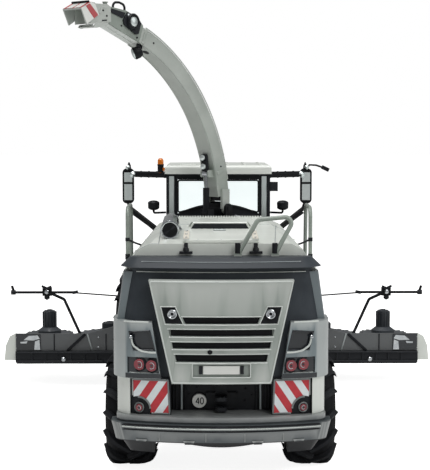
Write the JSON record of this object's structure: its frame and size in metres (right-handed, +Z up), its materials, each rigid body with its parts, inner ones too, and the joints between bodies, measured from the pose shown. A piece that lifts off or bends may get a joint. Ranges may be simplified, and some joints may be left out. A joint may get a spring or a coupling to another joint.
{
  "type": "scale model forage harvester",
  "caption": "Collector's scale model of a self-propelled forage harvester with a rotary maize header, curved discharge spout, glazed cab and opening doors.",
  "frame": {"origin": "centre of the model's box at ground level, on the machine's middle plane, where the tyres stand", "axes": "+Y the way it drives, towards the header; +X the machine's right-hand side; +Z up"},
  "size_m": [0.232, 0.281, 0.1921],
  "materials": {
    "body_paint": "gloss paint on die-cast zinc",
    "grille_paint": "satin light grey-green paint",
    "spout_paint": "satin grey-green paint",
    "grey_metallic": "metallic grey paint",
    "dark_plastic": "moulded black plastic",
    "header_grey": "fine textured dark grey paint",
    "tyre_rubber": "moulded soft rubber",
    "rim_paint": "satin paint",
    "chrome_plate": "vacuum plated plastic",
    "clear_glazing": "clear polystyrene",
    "mirror_silver": "silvered print",
    "lamp_red": "translucent red",
    "lamp_clear": "clear lens",
    "board_stripe": "red and white printed stripes",
    "plate_white": "white paint",
    "beacon_orange": "translucent orange",
    "seat_grey": "moulded dark grey plastic"
  },
  "bodies": {
    "harvester": {"beacon": "beacon_orange", "cab_frame": "dark_plastic", "cab_glass": "clear_glazing", "cab_interior": "seat_grey", "cab_roof": "body_paint", "chassis": "dark_plastic", "chopper_housing": "dark_plastic", "deck": "dark_plastic", "engine_housing": "dark_plastic", "exhaust": "chrome_plate", "front_axle": "dark_plastic", "handrails": "spout_paint", "ladder": "dark_plastic", "lamp_housings": "dark_plastic", "lamp_lenses": "lamp_clear", "mirror_glass": "mirror_silver", "mirrors": "dark_plastic", "number_plate": "plate_white", "rear_axle": "dark_plastic", "rear_bumper": "grey_metallic", "rear_fenders": "grey_metallic", "rear_grille": "grille_paint", "side_panels": "body_paint", "tail_frame": "dark_plastic", "tail_lamps": "lamp_red", "top_hood": "body_paint", "tow_hitch": "dark_plastic", "warning_boards": "board_stripe"},
    "front_wheel_left": {"front_tyre_left": "tyre_rubber", "front_rim_left": "rim_paint"},
    "front_wheel_right": {"front_tyre_right": "tyre_rubber", "front_rim_right": "rim_paint"},
    "steering_left": {"knuckle_left": "dark_plastic"},
    "steering_right": {"knuckle_right": "dark_plastic"},
    "rear_wheel_left": {"rear_tyre_left": "tyre_rubber", "rear_rim_left": "rim_paint"},
    "rear_wheel_right": {"rear_tyre_right": "tyre_rubber", "rear_rim_right": "rim_paint"},
    "turret": {"spout_turret": "dark_plastic"},
    "spout": {"spout_tube": "spout_paint", "spout_extension": "spout_paint"},
    "deflector_upper": {"spout_flap": "spout_paint"},
    "deflector_end": {"spout_lip": "board_stripe"},
    "cylinder_barrel": {"lift_barrel": "dark_plastic"},
    "cylinder_rod": {"lift_rod": "chrome_plate"},
    "header": {"feeder_house": "header_grey", "header_frame": "dark_plastic", "header_back": "header_grey", "header_ends": "body_paint", "dividers": "body_paint", "push_bars": "dark_plastic"},
    "service_flap": {"hood_flap": "body_paint"},
    "cab_door_left": {"door_left": "dark_plastic"},
    "cab_door_right": {"door_right": "dark_plastic"},
    "crop_rotor_outer_left": {"rotor_outer_left": "grey_metallic"},
    "crop_rotor_outer_right": {"rotor_outer_right": "grey_metallic"},
    "crop_rotor_middle_left": {"rotor_middle_left": "grey_metallic"},
    "crop_rotor_middle_right": {"rotor_middle_right": "grey_metallic"},
    "crop_rotor_inner_left": {"rotor_inner_left": "grey_metallic"},
    "crop_rotor_inner_right": {"rotor_inner_right": "grey_metallic"}
  },
  "joints": [
    {"name": "front_axle_left", "type": "hinge", "parent": "harvester", "child": "front_wheel_left", "pos_m": [-0.0388, 0.0105, 0.033], "axis": [1, 0, 0], "continuous": true},
    {"name": "steer_left", "type": "hinge", "parent": "harvester", "child": "steering_left", "pos_m": [-0.028, -0.0915, 0.0235], "axis": [0, 0, 1], "range_deg": [-22, 22]},
    {"name": "rear_axle_left", "type": "hinge", "parent": "steering_left", "child": "rear_wheel_left", "pos_m": [-0.0371, -0.0915, 0.0235], "axis": [1, 0, 0], "continuous": true},
    {"name": "front_axle_right", "type": "hinge", "parent": "harvester", "child": "front_wheel_right", "pos_m": [0.0388, 0.0105, 0.033], "axis": [1, 0, 0], "continuous": true},
    {"name": "steer_right", "type": "hinge", "parent": "harvester", "child": "steering_right", "pos_m": [0.028, -0.0915, 0.0235], "axis": [0, 0, 1], "range_deg": [-22, 22]},
    {"name": "rear_axle_right", "type": "hinge", "parent": "steering_right", "child": "rear_wheel_right", "pos_m": [0.0371, -0.0915, 0.0235], "axis": [1, 0, 0], "continuous": true},
    {"name": "spout_swing", "type": "hinge", "parent": "harvester", "child": "turret", "pos_m": [0, -0.0215, 0.097], "axis": [0, 0, 1], "range_deg": [-65, 145]},
    {"name": "spout_lift", "type": "hinge", "parent": "turret", "child": "spout", "pos_m": [0, -0.0215, 0.103], "axis": [-0.766, 0.6428, 0], "range_deg": [-22, 2]},
    {"name": "deflector_upper_tilt", "type": "hinge", "parent": "spout", "child": "deflector_upper", "pos_m": [-0.0504, -0.08156, 0.19147], "axis": [-0.766, 0.6428, 0], "range_deg": [-40, 8]},
    {"name": "deflector_end_tilt", "type": "hinge", "parent": "deflector_upper", "child": "deflector_end", "pos_m": [-0.05684, -0.08923, 0.19162], "axis": [-0.766, 0.6428, 0], "range_deg": [-35, 22]},
    {"name": "cylinder_pivot", "type": "hinge", "parent": "turret", "child": "cylinder_barrel", "pos_m": [-0.00579, -0.02839, 0.1014], "axis": [-0.766, 0.6428, 0], "range_deg": [-23, 3]},
    {"name": "cylinder_stroke", "type": "slide", "parent": "cylinder_barrel", "child": "cylinder_rod", "axis": [-0.0016, -0.0019, 1], "range_m": [-0.0038, 0.0006]},
    {"name": "header_lift", "type": "hinge", "parent": "harvester", "child": "header", "pos_m": [0, 0.0225, 0.047], "axis": [1, 0, 0], "range_deg": [-4, 8]},
    {"name": "rotor_outer_left_spin", "type": "hinge", "parent": "header", "child": "crop_rotor_outer_left", "pos_m": [-0.0942, 0.0945, 0.017], "axis": [0, 0, 1], "continuous": true},
    {"name": "rotor_outer_right_spin", "type": "hinge", "parent": "header", "child": "crop_rotor_outer_right", "pos_m": [0.0942, 0.0945, 0.017], "axis": [0, 0, 1], "continuous": true},
    {"name": "rotor_middle_left_spin", "type": "hinge", "parent": "header", "child": "crop_rotor_middle_left", "pos_m": [-0.06015, 0.0925, 0.017], "axis": [0, 0, 1], "continuous": true},
    {"name": "rotor_middle_right_spin", "type": "hinge", "parent": "header", "child": "crop_rotor_middle_right", "pos_m": [0.06015, 0.0925, 0.017], "axis": [0, 0, 1], "continuous": true},
    {"name": "rotor_inner_left_spin", "type": "hinge", "parent": "header", "child": "crop_rotor_inner_left", "pos_m": [-0.0202, 0.0925, 0.017], "axis": [0, 0, 1], "continuous": true},
    {"name": "rotor_inner_right_spin", "type": "hinge", "parent": "header", "child": "crop_rotor_inner_right", "pos_m": [0.0202, 0.0925, 0.017], "axis": [0, 0, 1], "continuous": true},
    {"name": "service_flap_hinge", "type": "hinge", "parent": "harvester", "child": "service_flap", "pos_m": [0, -0.0746, 0.0979], "axis": [-1, 0, 0], "range_deg": [0, 50]},
    {"name": "door_left_hinge", "type": "hinge", "parent": "harvester", "child": "cab_door_left", "pos_m": [-0.025, -0.0001, 0.094], "axis": [0, 0, 1], "range_deg": [0, 80]},
    {"name": "door_right_hinge", "type": "hinge", "parent": "harvester", "child": "cab_door_right", "pos_m": [0.025, -0.0001, 0.094], "axis": [0, 0, -1], "range_deg": [0, 80]}
  ],
  "couplings": [
    {"joint": "steer_right", "follows": "steer_left", "ratio": 1},
    {"joint": "cylinder_pivot", "follows": "spout_lift", "ratio": 0.99},
    {"joint": "cylinder_stroke", "follows": "spout_lift", "m_per_rad": 0.0091}
  ]
}
